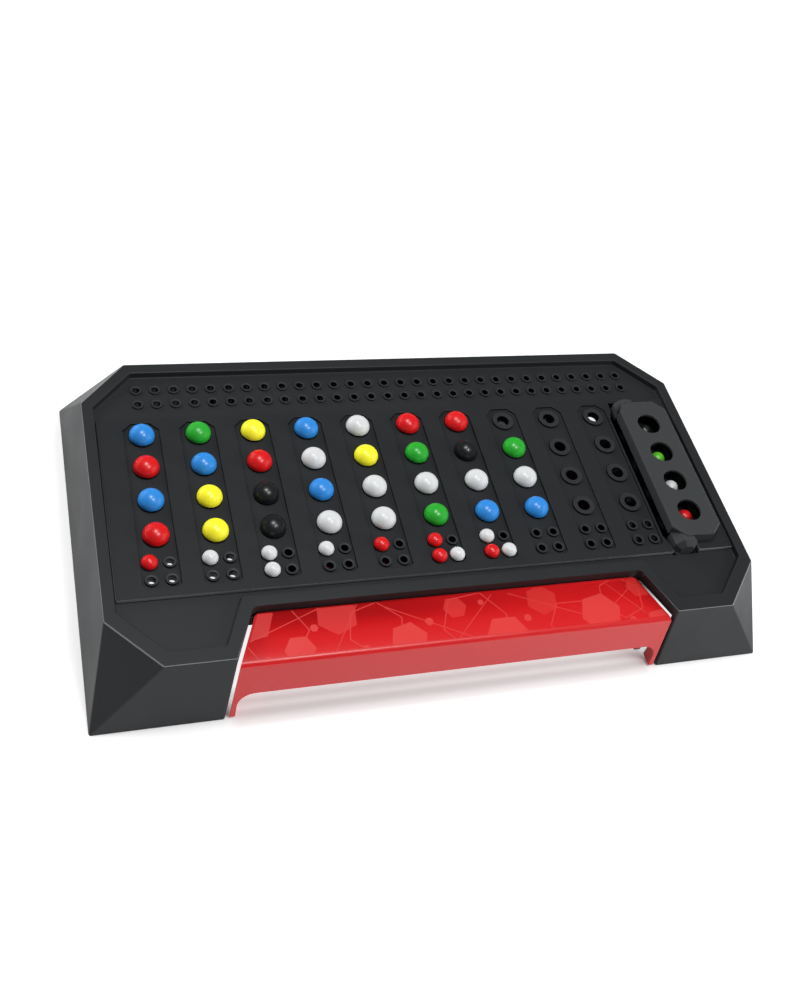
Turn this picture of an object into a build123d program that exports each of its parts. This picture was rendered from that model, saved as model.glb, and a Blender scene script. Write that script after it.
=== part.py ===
from build123d import *
import os
from math import asin, atan, cos, degrees, hypot, radians, sin, tan

# A code-breaking peg game, in millimetres.
# The origin is the middle of the base, on the table. +X is to the player's right, +Y away from
# the player and +Z up.

# The lanes and their holes
columns = 10
column_pitch = 20.0
rows = 4
row_pitch = 14.36
row_edge = 6.0
row_to_key = 10.8
key_pitch = 6.7
key_edge = 3.1
lane_width = 12.6
lane_depth = 0.8
lane_chamfer = 3.0
lane_foot_chamfer = 1.2
lane_behind = 2.0
lane_front = 3.6
left_margin = 15.4
right_margin = 4.2
column_to_slot = 7.3
code_hole_radius = 2.35
code_ring_radius = 4.2
key_hole_radius = 1.35
key_ring_radius = 2.15
ring_height = 0.8

# Pegs, and where they stand: one text for each row from the back, with a dot for an empty hole.
# The hidden code is made of small pegs.
code_rows = ("bgybwrr...", "rbrwygkg..", "bykbwwww..", "rykwwgbb..")
key_rows = ("r.w.w.w.r.r.w.......", "....w.....rwrw......")
secret_row = "klwr"
head_radius = 4.5
head_height = 4.3
stem_radius = 2.15
stem_length = 7.2
key_head_radius = 2.75
key_head_height = 2.8
key_stem_radius = 1.2
key_stem_length = 5.0
ball_radius = 4.75
ball_stem_radius = 1.95
ball_stem_length = 7.6

# Round shapes that repeat many times have few sides, and so have the small fasteners. A hole's
# radius is to the middles of its sides and any other radius is to the corners.
dome_bands = (0, 34, 68)
head_sides = 10
hole_sides = 8
small_sides = 6
window_sides = 16

# The playing face, from its front edge to its back edge
bay_depth = 18.7
strip_width = 4.5
channel_width = 2.66
storage_gap = 7.9
storage_pitch = 6.85
storage_row_pitch = 6.8
storage_edge = 6.7
storage_count = 30
storage_hole_radius = 1.25
rim_back = 4.5
rim_front = 5.5
rim_side = 4.2
field_gap = 0.3

# The housing, a facetted shell that is open underneath
height = 31.2
flare_x = 6.35
flare_y = 5.5
corner_cut_x = 16.8
corner_cut_y = 18.2
recess_cut_x = 14.4
recess_cut_y = 15.6
wall = 2.0
recess_depth = 2.6
deck_thickness = 2.0

# The panel that holds the lanes, snapped into the housing
field_step = 1.5
panel_thickness = 3.1
seat_x = 3.0
seat_y = 1.3
fit_gap = 0.3
hook_width = 8.0
hook_thickness = 1.5
hook_nose = 0.8
hook_drop = 2.0
hook_play = 0.1
hook_columns = (0, 3, 6)
well_depth = 2.8
well_skin = 2.3
well_post_height = 2.7
well_past_hinge = 1.0
well_inset = 1.8
slot_bridge = 1.3
trough_wall = 1.5
trough_play = 0.7

# The code shield and its hinge
shield_width = 20.8
shield_length = 66.6
shield_height = 4.8
shield_lift = 0.3
shield_wall = 1.2
shield_plate = 1.4
shield_corner = 4.4
shield_edge = 0.5
shield_shift = -0.87
window_radius = 4.75
window_chamfer = 0.4
hinge_in = 5.1
hinge_drop = 5.4
swing_gap = 0.3
knob_flat = 4.8
knob_inset = 4.0
knob_overhang = 3.5
knob_chamfer = 2.0
pin_radius = 1.5
pin_gap = 0.05
pin_press = 4.5
ear_radius = 3.2
ear_thickness = 2.3
knob_gap = 0.35

# The drawer: a red front, a tray behind it and the runners that carry the tray
bay_half_front = 79.8
bay_flare = 22.8
bay_corner = 3.0
drawer_side_gap = 1.2
drawer_back_gap = 0.3
drawer_drop = 4.0
drawer_wall = 2.2
drawer_foot = 0.7
drawer_fold = 2.2
face_set_back = 0.1
arch_height = 12.4
arch_leg = 2.4
arch_corner = 6.0
drawer_travel = 60.0
tray_width = 128.0
tray_wall = 1.6
tray_floor = 1.5
tray_height = 8.5
tray_clearance = 1.4
tray_front_gap = 1.6
flange_reach = 4.6
flange_thickness = 1.5
tooth_reach = 1.3
tooth_length = 3.0
runner_gap = 0.3
runner_web = 2.0
runner_foot = 1.8
runner_lap = 2.2
tab_length = 7.5
tab_width = 5.6
tab_thickness = 1.8
tab_gap = 0.5
boss_radius = 3.0
boss_drop = 3.6
boss_pitch = 45.0
drawer_boss_depth = 7.0
shelf_width = 9.0
shelf_thickness = 1.8
screw_radius = 1.2
screw_head_radius = 2.3
screw_head_height = 1.6
screw_length = 5.0
screw_play = 0.15
spare_gap = 0.05
spare_edge = 16.0
spare_stagger = 8.0
spare_columns = (2, 3)
cutter_reach = 5.0

# Levels
floor_level = height - recess_depth
deck_under = floor_level - deck_thickness
field_top = floor_level + field_step
lane_floor = field_top - lane_depth
ring_top = lane_floor + ring_height
panel_under = field_top - panel_thickness
well_floor = field_top - well_depth
well_under = well_floor - well_skin
secret_post_top = well_floor + well_post_height
shield_bottom = field_top + shield_lift
shield_top = shield_bottom + shield_height
hinge_z = shield_top - hinge_drop
drawer_top = height - drawer_drop
drawer_ceiling = drawer_top - drawer_wall
tray_top = ring_top - stem_length - tray_clearance
tray_under = tray_top - tray_height
tray_bed = tray_under + tray_floor
flange_under = tray_top - flange_thickness
runner_ledge = flange_under - runner_gap
runner_under = runner_ledge - runner_foot
boss_under = deck_under - boss_drop
trough_floor = hinge_z - hypot(hinge_in, hinge_drop) - trough_play
trough_under = trough_floor - trough_wall

# Places from left to right: the panel's length follows from the lanes, the hinge and the shield
swing_radius = max(hypot(hinge_in, hinge_drop - shield_edge), hypot(hinge_in - shield_edge, hinge_drop))
lanes_length = (columns - 1) * column_pitch
shield_reach = swing_gap + swing_radius - hinge_in + shield_width
field_length = left_margin + lanes_length + column_to_slot + shield_reach + right_margin
first_column = left_margin - field_length / 2
slot_left = first_column + lanes_length + column_to_slot
hinge_x = slot_left + swing_gap + swing_radius
shield_left = hinge_x - hinge_in
secret_x = shield_left + shield_width / 2
recess_length = field_length + 2 * field_gap
face_length = recess_length + 2 * rim_side
base_length = face_length + 2 * flare_x

# Places from front to back
lane_length = row_edge + (rows - 1) * row_pitch + row_to_key + key_pitch + key_edge
lanes_depth = lane_behind + lane_length + lane_front
shield_depth = shield_length + 2 * (shield_shift + knob_overhang + knob_gap + slot_bridge)
field_depth = max(lanes_depth, shield_depth)
field_offset = bay_depth + strip_width + channel_width
face_depth = field_offset + field_depth + storage_gap + storage_row_pitch + storage_edge + rim_back
base_depth = face_depth + 2 * flare_y
face_front = -face_depth / 2
face_back = face_depth / 2
bay_back = face_front + bay_depth
field_front = face_front + field_offset
field_back = field_front + field_depth
field_middle = (field_front + field_back) / 2
lane_back = field_back - lane_behind
first_row = lane_back - row_edge
first_key_row = first_row - (rows - 1) * row_pitch - row_to_key
shield_middle = field_middle + shield_shift
shield_back = shield_middle + shield_length / 2
shield_front = shield_middle - shield_length / 2

# Where the holes are
column_places = [first_column + i * column_pitch for i in range(columns)]
row_places = [first_row - i * row_pitch for i in range(rows)]
secret_places = [(secret_x, shield_middle + (1.5 - i) * row_pitch) for i in range(len(secret_row))]
key_columns = [x + side * key_pitch / 2 for x in column_places for side in (-1, 1)]
code_places = [(x, y) for y in row_places for x in column_places]
key_places = [(x, first_key_row - i * key_pitch) for i in range(2) for x in key_columns]
storage_middle = field_back + storage_gap + storage_row_pitch / 2


def facetted_form(inset, bottom, top):
    """The housing's outline between two levels, moved inwards by inset on every side."""
    slope_x = flare_x / height
    slope_y = flare_y / height
    with BuildPart() as form:
        for level in (bottom, top):
            half_x = base_length / 2 - slope_x * level - inset * hypot(1, slope_x)
            half_y = base_depth / 2 - slope_y * level - inset * hypot(1, slope_y)
            with BuildSketch(Plane.XY.offset(level)):
                Rectangle(2 * half_x, 2 * half_y)
        loft(ruled=True)
        for side_x in (-1, 1):
            for side_y in (-1, 1):
                foot = Vector(side_x * base_length / 2, side_y * base_depth / 2, 0)
                inner = Vector(side_x * (face_length / 2 - corner_cut_x), side_y * face_back, height)
                outer = Vector(side_x * face_length / 2, side_y * (face_back - corner_cut_y), height)
                normal = (inner - foot).cross(outer - foot).normalized() * (side_x * side_y)
                facet = Plane(origin=foot - normal * inset, z_dir=normal)
                split(bisect_by=facet, keep=Keep.BOTTOM)
    return form.part


def octagon(half_x, front, back, cut_x, cut_y):
    """Corner points of a rectangle whose four corners are cut off."""
    right = [(half_x, front + cut_y), (half_x, back - cut_y), (half_x - cut_x, back)]
    left = [(cut_x - half_x, back), (-half_x, back - cut_y), (-half_x, front + cut_y)]
    return right + left + [(cut_x - half_x, front), (half_x - cut_x, front)]


def bay_half(y, widen=0.0):
    """Half the width of the drawer's bay at a depth, with its slanted sides moved out by widen."""
    return bay_half_front + (face_front - y) * tan(radians(bay_flare)) + widen / cos(radians(bay_flare))


def bay_outline(front, back, widen=0.0):
    """Corner points of the bay in plan, the wide end at the front."""
    near = bay_half(front, widen)
    far = bay_half(back, widen)
    return [(-near, front), (near, front), (far, back), (-far, back)]


def face_plane(inset):
    """The plane of the housing's slanted front skirt, moved inwards by inset."""
    slope = flare_y / height
    normal = Vector(0, -1, slope).normalized()
    return Plane(origin=Vector(0, -base_depth / 2, 0) - normal * inset, x_dir=(1, 0, 0), z_dir=normal)


# The bay is cut well past the skirt
beyond = base_depth / 2 + cutter_reach
opening_length = field_length - 2 * seat_x
opening_depth = field_depth - 2 * seat_y
knob_radius = knob_flat / cos(radians(22.5))
knob_room = knob_radius + knob_gap
tab_x = tray_width / 2 + flange_reach + tooth_reach + runner_gap + runner_web + tab_width / 2
tab_y = opening_depth / 2 + tab_gap + tab_length / 2
screw_places = [(x, field_middle + y) for x in (-tab_x, tab_x) for y in (-tab_y, tab_y)]
outer_form = facetted_form(0, 0, height)
inner_form = facetted_form(wall, -1, deck_under)

with BuildPart() as top_housing:
    add(outer_form)
    add(inner_form, mode=Mode.SUBTRACT)
    # The recess leaves the rim, and a strip of the same height round the drawer's bay
    with BuildSketch(Plane.XY.offset(floor_level)):
        recess = (recess_length / 2, face_front + rim_front, face_back - rim_back)
        Polygon(*octagon(*recess, recess_cut_x, recess_cut_y))
        Polygon(*bay_outline(-beyond, bay_back + strip_width, strip_width), mode=Mode.SUBTRACT)
    extrude(amount=2 * recess_depth, mode=Mode.SUBTRACT)
    # Screw bosses for the runners
    with BuildSketch(Plane.XY.offset(boss_under)):
        with Locations(*screw_places):
            RegularPolygon(boss_radius, hole_sides)
    extrude(amount=boss_drop)
    with BuildSketch(Plane.XY.offset(boss_under)):
        with Locations(*screw_places):
            RegularPolygon(screw_radius, hole_sides)
    extrude(amount=boss_drop, mode=Mode.SUBTRACT)
    # Openings for the panel, for the front hinge knob and for the drawer, and the storage holes
    with BuildSketch(Plane.XY.offset(boss_under)):
        with Locations((0, field_middle)):
            Rectangle(opening_length, opening_depth)
        with Locations((hinge_x, field_front + seat_y)):
            Rectangle(2 * knob_room, 2 * (seat_y + knob_gap))
        with Locations((0, storage_middle)):
            with GridLocations(storage_pitch, storage_row_pitch, storage_count, 2):
                RegularPolygon(storage_hole_radius, small_sides, major_radius=False)
    extrude(amount=height, mode=Mode.SUBTRACT)
    with BuildSketch():
        bay = Polygon(*bay_outline(-beyond, bay_back))
        fillet(bay.vertices().group_by(Axis.Y)[-1], bay_corner)
    extrude(amount=2 * height, mode=Mode.SUBTRACT)

# The slot that the shield's left wall swings down into, with a bay for each knob
well_left = hinge_x + well_past_hinge
knob_left = hinge_x - knob_room
knob_right = hinge_x + knob_room
inner_back = shield_back - knob_inset
inner_front = shield_front + knob_inset
room_back = shield_back + knob_overhang + knob_gap
room_front = shield_front - knob_overhang - seat_y
slot_points = [
    (slot_left, inner_front),
    (slot_left, inner_back),
    (knob_left, shield_back + swing_gap),
    (knob_left, room_back),
    (knob_right, room_back),
    (knob_right, inner_back - knob_gap),
    (well_left, inner_back - knob_gap),
    (well_left, inner_front + knob_gap),
    (knob_right, inner_front + knob_gap),
    (knob_right, room_front),
    (knob_left, room_front),
    (knob_left, shield_front - swing_gap),
]
well_width = shield_left + shield_width - well_inset - well_left
well_length = shield_length - 2 * well_inset
pan_width = opening_length / 2 - fit_gap - well_left

with BuildPart() as play_panel:
    with BuildSketch(Plane.XY.offset(floor_level)):
        with Locations((0, field_middle)):
            Rectangle(field_length, field_depth)
    extrude(amount=field_step)
    with BuildSketch(Plane.XY.offset(panel_under)):
        with Locations((0, field_middle)):
            Rectangle(opening_length - 2 * fit_gap, opening_depth - 2 * fit_gap)
    extrude(amount=floor_level - panel_under)
    with BuildSketch(Plane.XY.offset(well_under)):
        with Locations((well_left + pan_width / 2, shield_middle)):
            Rectangle(pan_width, shield_length)
    extrude(amount=panel_under - well_under)
    # A closed trough under the slot
    with BuildSketch(Plane.XY.offset(trough_under)):
        Polygon(*slot_points)
        offset(amount=trough_wall, kind=Kind.INTERSECTION)
        with Locations((0, field_middle)):
            Rectangle(opening_length - 2 * fit_gap, opening_depth - 2 * fit_gap, mode=Mode.INTERSECT)
    extrude(amount=panel_under - trough_under)
    # Lanes, and the well that holds the hidden code
    with BuildSketch(Plane.XY.offset(lane_floor)):
        with Locations(*[(x, lane_back - lane_length / 2) for x in column_places]):
            lanes = Rectangle(lane_width, lane_length)
        chamfer(lanes.vertices().group_by(Axis.Y)[-1], lane_chamfer)
        chamfer(lanes.vertices().group_by(Axis.Y)[0], lane_foot_chamfer)
    extrude(amount=lane_depth, mode=Mode.SUBTRACT)
    with BuildSketch(Plane.XY.offset(well_floor)):
        with Locations((well_left + well_width / 2, shield_middle)):
            well = Rectangle(well_width, well_length)
        chamfer(well.vertices().group_by(Axis.X)[-1], shield_corner)
    extrude(amount=well_depth, mode=Mode.SUBTRACT)
    # Rings and holes
    with BuildSketch(Plane.XY.offset(lane_floor)):
        with Locations(*code_places):
            RegularPolygon(code_ring_radius, head_sides)
        with Locations(*key_places):
            RegularPolygon(key_ring_radius, small_sides)
    extrude(amount=ring_height)
    with BuildSketch(Plane.XY.offset(well_floor)):
        with Locations(*secret_places):
            RegularPolygon(key_ring_radius, small_sides)
    extrude(amount=well_post_height)
    with BuildSketch(Plane.XY.offset(well_under)):
        with Locations(*code_places):
            RegularPolygon(code_hole_radius, hole_sides, major_radius=False)
        with Locations(*key_places, *secret_places):
            RegularPolygon(key_hole_radius, small_sides, major_radius=False)
    extrude(amount=height, mode=Mode.SUBTRACT)
    with BuildSketch(Plane.XY.offset(trough_floor)):
        Polygon(*slot_points)
    extrude(amount=height, mode=Mode.SUBTRACT)
    # Two ears carry the hinge pins
    for ear_y in (inner_back - knob_gap, inner_front + knob_gap + ear_thickness):
        with BuildSketch(Plane.XZ.offset(-ear_y)):
            with Locations((hinge_x, hinge_z)):
                Circle(ear_radius)
            with Locations((hinge_x, well_under)):
                Rectangle(ear_radius, hinge_z - well_under, align=(Align.MIN, Align.MIN))
            with Locations((hinge_x, hinge_z)):
                Circle(pin_radius + pin_gap, mode=Mode.SUBTRACT)
            with Locations((hinge_x, (well_under + panel_under) / 2)):
                Rectangle(2 * well_past_hinge, panel_under - well_under, mode=Mode.SUBTRACT)
        extrude(amount=ear_thickness)
    # Snap hooks catch under the housing's deck
    for side in (-1, 1):
        edge = field_middle + side * (opening_depth / 2 - fit_gap)
        inner = edge - side * hook_thickness
        nose = edge + side * hook_nose
        catch = deck_under - hook_play
        end = panel_under - hook_drop - hook_nose / 2
        hook = [(inner, panel_under), (edge, panel_under), (edge, catch), (nose, catch)]
        hook += [(nose, catch - hook_nose / 2), (edge, end), (inner, end)]
        for index in hook_columns:
            with BuildSketch(Plane.YZ.offset(column_places[index] - hook_width / 2)):
                Polygon(*hook)
            extrude(amount=hook_width)

with BuildPart() as code_shield:
    with BuildSketch(Plane.XY.offset(shield_bottom)):
        with Locations((secret_x, shield_middle)):
            plate = Rectangle(shield_width, shield_length)
        chamfer(plate.vertices(), shield_corner)
    extrude(amount=shield_height)
    chamfer(faces().sort_by(Axis.Z)[-1].edges(), shield_edge)
    with BuildSketch(Plane.XY.offset(shield_bottom)):
        with Locations((secret_x, shield_middle)):
            inside = Rectangle(shield_width - 2 * shield_wall, shield_length - 2 * shield_wall)
        chamfer(inside.vertices(), shield_corner - shield_wall / 2)
    extrude(amount=shield_height - shield_plate, mode=Mode.SUBTRACT)
    with BuildSketch(Plane.XY.offset(shield_bottom)):
        with Locations(*secret_places):
            RegularPolygon(window_radius, window_sides, major_radius=False)
    extrude(amount=shield_height, mode=Mode.SUBTRACT)
    with BuildSketch(Plane.XY.offset(shield_top)):
        with Locations(*secret_places):
            RegularPolygon(window_radius + window_chamfer, window_sides, major_radius=False)
    extrude(amount=-window_chamfer, taper=45, mode=Mode.SUBTRACT)
    # An eight-sided knob at each end of the left edge, bored for its pin
    for side, start in ((1, inner_back), (-1, inner_front)):
        end_plane = Plane(origin=(hinge_x, start, hinge_z), x_dir=(1, 0, 0), z_dir=(0, side, 0))
        with BuildSketch(end_plane):
            RegularPolygon(knob_flat, 8, major_radius=False, rotation=22.5)
        extrude(amount=knob_inset + knob_overhang)
        chamfer(faces().filter_by(Axis.Y).sort_by(Axis.Y)[-1 if side > 0 else 0].edges(), knob_chamfer)
        with BuildSketch(end_plane):
            Circle(pin_radius)
        extrude(amount=pin_press, mode=Mode.SUBTRACT)

with BuildPart() as hinge_pins:
    pin_length = pin_press + knob_gap + ear_thickness
    for side, start in ((1, inner_back), (-1, inner_front)):
        root = start - side * (knob_gap + ear_thickness)
        with BuildSketch(Plane(origin=(hinge_x, root, hinge_z), x_dir=(1, 0, 0), z_dir=(0, side, 0))):
            Circle(pin_radius)
        extrude(amount=pin_length)

# The drawer's places
drawer_back = bay_back - drawer_back_gap
tray_half = tray_width / 2
tray_front = drawer_back - tray_front_gap
flange_half = tray_half + flange_reach
web_half = flange_half + tooth_reach + runner_gap
runner_front = field_middle - tab_y - tab_length / 2
runner_back = field_middle + tab_y + tab_length / 2
stop_back = runner_front + tooth_length
tray_back = stop_back + runner_gap + drawer_travel + tooth_length
drawer_boss_y = tray_front - tray_wall - shelf_width / 2
drawer_boss_places = [(i * boss_pitch, drawer_boss_y) for i in (-1, 0, 1)]
drawer_boss_under = drawer_ceiling - drawer_boss_depth
shelf_under = drawer_boss_under - shelf_thickness

with BuildPart() as drawer_hollow:
    with BuildSketch():
        Polygon(*bay_outline(-beyond, bay_back + strip_width, -drawer_side_gap - drawer_wall))
    extrude(amount=drawer_ceiling)
    split(bisect_by=face_plane(face_set_back + drawer_wall), keep=Keep.BOTTOM)

with BuildPart() as drawer_front:
    with BuildSketch(Plane.XY.offset(drawer_foot)):
        shell = Polygon(*bay_outline(-beyond, drawer_back, -drawer_side_gap))
        fillet(shell.vertices().group_by(Axis.Y)[-1], bay_corner)
    extrude(amount=drawer_top - drawer_foot)
    split(bisect_by=face_plane(face_set_back), keep=Keep.BOTTOM)
    fold = edges().filter_by(Axis.X).group_by(Axis.Z)[-1].sort_by(Axis.Y)[0]
    fillet(fold, drawer_fold)
    add(drawer_hollow.part, mode=Mode.SUBTRACT)
    # The finger arch, cut through the front wall alone
    arch_half = bay_half(-base_depth / 2, -drawer_side_gap) - arch_leg
    with BuildSketch(Plane.XZ.offset(beyond)):
        with Locations((0, arch_height / 2)):
            arch = Rectangle(2 * arch_half, arch_height)
        fillet(arch.vertices().group_by(Axis.Y)[-1], arch_corner)
    extrude(amount=-(beyond + drawer_boss_y - shelf_width), mode=Mode.SUBTRACT)
    with BuildSketch(Plane.XY.offset(drawer_boss_under)):
        with Locations(*drawer_boss_places):
            RegularPolygon(boss_radius, hole_sides)
            RegularPolygon(screw_radius, hole_sides, mode=Mode.SUBTRACT)
    extrude(amount=drawer_boss_depth)

with BuildPart() as drawer_tray:
    with BuildSketch(Plane.XY.offset(tray_under)):
        with Locations((0, (tray_front + tray_back) / 2)):
            Rectangle(tray_width, tray_back - tray_front + 2 * tray_wall)
    extrude(amount=tray_height)
    with BuildSketch(Plane.XY.offset(flange_under)):
        with Locations((0, tray_back)):
            Rectangle(2 * flange_half, tray_back - tray_front, align=(Align.CENTER, Align.MAX))
            Rectangle(2 * (flange_half + tooth_reach), tooth_length, align=(Align.CENTER, Align.MAX))
    extrude(amount=flange_thickness)
    with BuildSketch(Plane.XY.offset(tray_bed)):
        with Locations((0, (tray_front + tray_back) / 2)):
            Rectangle(tray_width - 2 * tray_wall, tray_back - tray_front)
    extrude(amount=tray_height, mode=Mode.SUBTRACT)
    # The front wall reaches up to the red top, and has a shelf under each of its bosses
    with BuildSketch(Plane.XY.offset(tray_under)):
        with Locations((0, tray_front)):
            Rectangle(tray_width, tray_wall, align=(Align.CENTER, Align.MAX))
    extrude(amount=drawer_ceiling - tray_under)
    with BuildSketch(Plane.XY.offset(shelf_under)):
        with Locations(*drawer_boss_places):
            Rectangle(shelf_width, shelf_width)
            RegularPolygon(screw_radius + screw_play, hole_sides, mode=Mode.SUBTRACT)
    extrude(amount=shelf_thickness)

with BuildPart() as drawer_runner_right:
    with BuildSketch(Plane.XZ.offset(-runner_back)):
        with Locations((web_half, runner_under)):
            Rectangle(runner_web, boss_under - runner_under, align=(Align.MIN, Align.MIN))
        with Locations((web_half, runner_under)):
            Rectangle(web_half - flange_half + runner_lap, runner_foot, align=(Align.MAX, Align.MIN))
    extrude(amount=runner_back - runner_front)
    # A stop for the tray's teeth, and a screw tab at each end
    with BuildSketch(Plane.XY.offset(runner_ledge)):
        with Locations((web_half, runner_front)):
            Rectangle(web_half - flange_half - runner_gap, tooth_length, align=(Align.MAX, Align.MIN))
    extrude(amount=flange_thickness + 2 * runner_gap)
    with BuildSketch(Plane.XY.offset(boss_under - tab_thickness)):
        with Locations((tab_x, field_middle - tab_y), (tab_x, field_middle + tab_y)):
            Rectangle(tab_width, tab_length)
            RegularPolygon(screw_radius + screw_play, hole_sides, mode=Mode.SUBTRACT)
    extrude(amount=tab_thickness)

with BuildPart() as drawer_runner_left:
    mirror(drawer_runner_right.part, about=Plane.YZ)

with BuildPart() as screw:
    with BuildSketch():
        RegularPolygon(screw_head_radius, hole_sides)
    extrude(amount=-screw_head_height)
    with BuildSketch():
        RegularPolygon(screw_radius, hole_sides)
    extrude(amount=screw_length)


def dome(sides, radius, rise):
    """A dome standing on the XY plane, as bands of flat faces and a flat crown."""
    crown = sin(radians(dome_bands[-1]))
    with BuildPart() as form:
        with BuildSketch():
            RegularPolygon(radius, sides)
        end = form.pending_faces[0]
        for low, high in zip(dome_bands, dome_bands[1:]):
            step = rise * (sin(radians(high)) - sin(radians(low))) / crown
            drawn_in = radius * (cos(radians(low)) - cos(radians(high))) * cos(radians(180 / sides))
            extrude(end, amount=step, taper=degrees(atan(drawn_in / step)))
            end = faces().sort_by(Axis.Z)[-1]
    return form.part


def dome_peg(radius, height_of_head, sides, stem, length, stem_sides):
    """A peg with a domed head whose flat underside is on the XY plane, and a stem below it."""
    with BuildPart() as peg:
        add(dome(sides, radius, height_of_head))
        with BuildSketch():
            RegularPolygon(stem, stem_sides)
        extrude(amount=-length)
    return peg


code_peg = dome_peg(head_radius, head_height, head_sides, stem_radius, stem_length, hole_sides)
key_peg = dome_peg(key_head_radius, key_head_height, hole_sides, key_stem_radius, key_stem_length, small_sides)


def copies(piece, places):
    """One group of equal solids, each standing at its own place."""
    with BuildPart() as group:
        with Locations(*places):
            add(piece.part)
    return group


def seats(places, marks, letter, level):
    """The places marked with one letter, raised to a level."""
    return [(x, y, level) for (x, y), mark in zip(places, marks) if mark == letter]


def code_pegs(letter):
    """The code pegs of one colour: large ones in the lanes, and small ones on the posts in the well."""
    large = seats(code_places, "".join(code_rows), letter, ring_top)
    small = seats(secret_places, secret_row, letter, secret_post_top)
    with BuildPart() as group:
        for piece, places in ((code_peg, large), (key_peg, small)):
            if places:
                add(copies(piece, places).part)
    return group


def key_pegs(letter):
    """The key pegs of one colour."""
    return copies(key_peg, seats(key_places, "".join(key_rows), letter, ring_top))


half_ball = ball_radius * sin(radians(dome_bands[-1]))
ball_reach = half_ball + ball_stem_length

with BuildPart() as ball_peg:
    add(dome(head_sides, ball_radius, half_ball))
    mirror(ball_peg.part, about=Plane.XY)
    with BuildSketch():
        RegularPolygon(ball_stem_radius, hole_sides)
    extrude(amount=ball_reach)


def lying_peg(column, y, side):
    """A ball-headed peg that lies in the tray between two columns, its stem towards side."""
    tilt = asin(ball_radius / hypot(ball_reach, ball_stem_radius)) - atan(ball_stem_radius / ball_reach)
    middle = (column_places[column] + column_pitch / 2, y, tray_bed + ball_radius + spare_gap)
    return copies(ball_peg, [Plane(origin=middle, x_dir=(1, 0, 0), z_dir=(0, side * cos(tilt), -sin(tilt)))])


pieces = {
    "top_housing": top_housing,
    "play_panel": play_panel,
    "code_shield": code_shield,
    "hinge_pins": hinge_pins,
    "drawer_front": drawer_front,
    "drawer_tray": drawer_tray,
    "drawer_screws": copies(screw, [(x, y, shelf_under) for x, y in drawer_boss_places]),
    "drawer_runner_left": drawer_runner_left,
    "drawer_runner_right": drawer_runner_right,
    "runner_screws": copies(screw, [(x, y, boss_under - tab_thickness) for x, y in screw_places]),
    "code_pegs_blue": code_pegs("b"),
    "code_pegs_red": code_pegs("r"),
    "code_pegs_green": code_pegs("g"),
    "code_pegs_yellow": code_pegs("y"),
    "code_pegs_white": code_pegs("w"),
    "code_pegs_black": code_pegs("k"),
    "code_peg_lime": code_pegs("l"),
    "key_pegs_red": key_pegs("r"),
    "key_pegs_white": key_pegs("w"),
    "spare_peg_red": lying_peg(spare_columns[0], tray_front + spare_edge, 1),
    "spare_peg_lime": lying_peg(spare_columns[0], tray_back - spare_edge, -1),
    "spare_peg_orange": lying_peg(spare_columns[1], tray_front + spare_edge + spare_stagger, 1),
    "spare_peg_sky_blue": lying_peg(spare_columns[1], tray_back - spare_edge + spare_stagger, -1),
}

os.makedirs("parts", exist_ok=True)
for name, piece in pieces.items():
    piece.part.label = name
    export_step(piece.part, f"parts/{name}.step")
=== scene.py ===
import math

import bmesh
import bpy
import numpy as np
from mathutils import Euler, Matrix, Vector


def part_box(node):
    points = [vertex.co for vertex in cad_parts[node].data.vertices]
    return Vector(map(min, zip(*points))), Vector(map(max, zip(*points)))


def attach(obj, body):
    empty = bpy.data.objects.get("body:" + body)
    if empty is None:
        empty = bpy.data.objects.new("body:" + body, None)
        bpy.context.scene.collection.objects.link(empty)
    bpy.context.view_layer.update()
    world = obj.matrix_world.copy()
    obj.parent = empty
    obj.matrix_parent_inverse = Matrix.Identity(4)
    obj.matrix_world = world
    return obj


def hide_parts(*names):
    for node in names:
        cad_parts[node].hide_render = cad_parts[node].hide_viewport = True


bl_info = {
    "name": "Code-breaking peg game",
    "version": (1, 0, 0),
    "blender": (4, 5, 0),
    "location": "3D View > Sidebar > Peg game",
    "description": "Dresses the packed frame of a code-breaking peg game",
    "category": "Object",
}

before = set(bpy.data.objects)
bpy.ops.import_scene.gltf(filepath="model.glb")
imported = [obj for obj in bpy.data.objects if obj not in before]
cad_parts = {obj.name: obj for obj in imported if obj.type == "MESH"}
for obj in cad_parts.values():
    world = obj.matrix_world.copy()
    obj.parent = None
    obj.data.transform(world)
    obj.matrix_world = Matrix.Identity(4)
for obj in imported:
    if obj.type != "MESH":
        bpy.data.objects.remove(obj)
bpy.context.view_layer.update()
MM = 0.001

# How many holes stand in a row or a column
LANES = 10
CODE_ROWS = 4
KEY_ROWS = 2
STORAGE_COLUMNS = 30

# Sides of the turned shapes
LARGE_SIDES = 32
SMALL_PEG_SIDES = 24
SMALL_RING_SIDES = 20

# Sections of the rings: radius and height in millimetres from the floor that they stand on. Each goes down
# the hole as a liner and covers the many-sided ring and hole of the frame.
CODE_RING = [
    (2.35, -2.28), (2.62, -2.28), (2.62, -0.1), (4.48, -0.1), (4.46, 0.04), (4.36, 0.18), (4.29, 0.74),
    (4.2, 0.83), (2.72, 0.83), (2.44, 0.74), (2.35, 0.5),
]
KEY_RING = [
    (1.35, -2.28), (1.6, -2.28), (1.6, -0.1), (2.32, -0.1), (2.3, 0.03), (2.24, 0.12), (2.2, 0.77),
    (2.13, 0.83), (1.56, 0.83), (1.39, 0.76), (1.35, 0.6),
]
STORAGE_RING = [
    (1.25, -1.98), (1.48, -1.98), (1.48, -0.1), (2.24, -0.1), (2.22, 0.03), (2.14, 0.1), (2.09, 0.62),
    (2.0, 0.7), (1.46, 0.7), (1.28, 0.63), (1.25, 0.5),
]
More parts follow.
